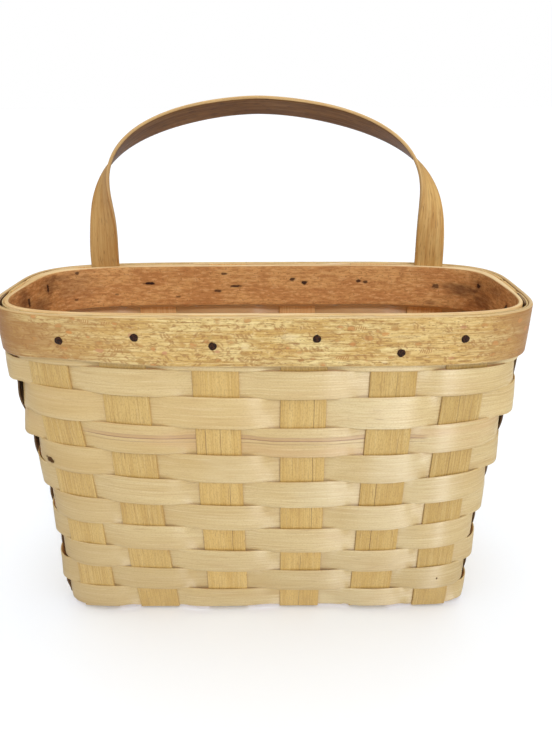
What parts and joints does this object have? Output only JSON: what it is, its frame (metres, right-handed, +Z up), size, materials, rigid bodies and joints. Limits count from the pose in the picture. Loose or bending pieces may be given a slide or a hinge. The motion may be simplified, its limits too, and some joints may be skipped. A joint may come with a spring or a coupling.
{
  "type": "wooden mail basket",
  "caption": "Narrow oblong splint-wood basket with a banded rim and one bent wood handle standing on its back wall, for letters or papers.",
  "frame": {"origin": "centre of the bounding box, at the surface the basket stands on", "axes": "+Z up, +Y towards the back wall that carries the handle, +X to the right seen from the front"},
  "size_m": [0.383, 0.162, 0.3938],
  "materials": {
    "weaver_splint": "bare satin splint",
    "stake_splint": "bare satin splint",
    "rim_wood": "flecked satin wood",
    "inner_rim_wood": "reddish satin wood",
    "handle_wood": "satin wood",
    "tack_metal": "blued dark steel"
  },
  "bodies": {
    "root": {"cross_stake_1": "stake_splint", "cross_stake_2": "stake_splint", "cross_stake_3": "stake_splint", "cross_stake_4": "stake_splint", "cross_stake_5": "stake_splint", "cross_stake_6": "stake_splint", "lengthwise_stake_1": "stake_splint", "lengthwise_stake_2": "stake_splint", "lengthwise_stake_3": "stake_splint", "rim_weaver": "weaver_splint", "weaver_row_01": "weaver_splint", "weaver_row_02": "weaver_splint", "weaver_row_03": "weaver_splint", "weaver_row_04": "weaver_splint", "weaver_row_05": "weaver_splint", "weaver_row_06": "weaver_splint", "weaver_row_07": "weaver_splint", "weaver_row_08": "weaver_splint", "weaver_row_09": "weaver_splint", "weaver_row_10": "weaver_splint", "rim_outer_band": "rim_wood", "rim_inner_band": "inner_rim_wood", "handle": "handle_wood", "tack_front_1": "tack_metal", "tack_front_2": "tack_metal", "tack_front_3": "tack_metal", "tack_front_4": "tack_metal", "tack_front_5": "tack_metal", "tack_front_6": "tack_metal", "tack_back_1": "tack_metal", "tack_back_2": "tack_metal", "tack_back_3": "tack_metal", "tack_back_4": "tack_metal", "tack_back_5": "tack_metal", "tack_back_6": "tack_metal", "tack_right_1": "tack_metal", "tack_right_2": "tack_metal", "tack_right_3": "tack_metal", "tack_left_1": "tack_metal", "tack_left_2": "tack_metal", "tack_left_3": "tack_metal"}
  },
  "joints": []
}
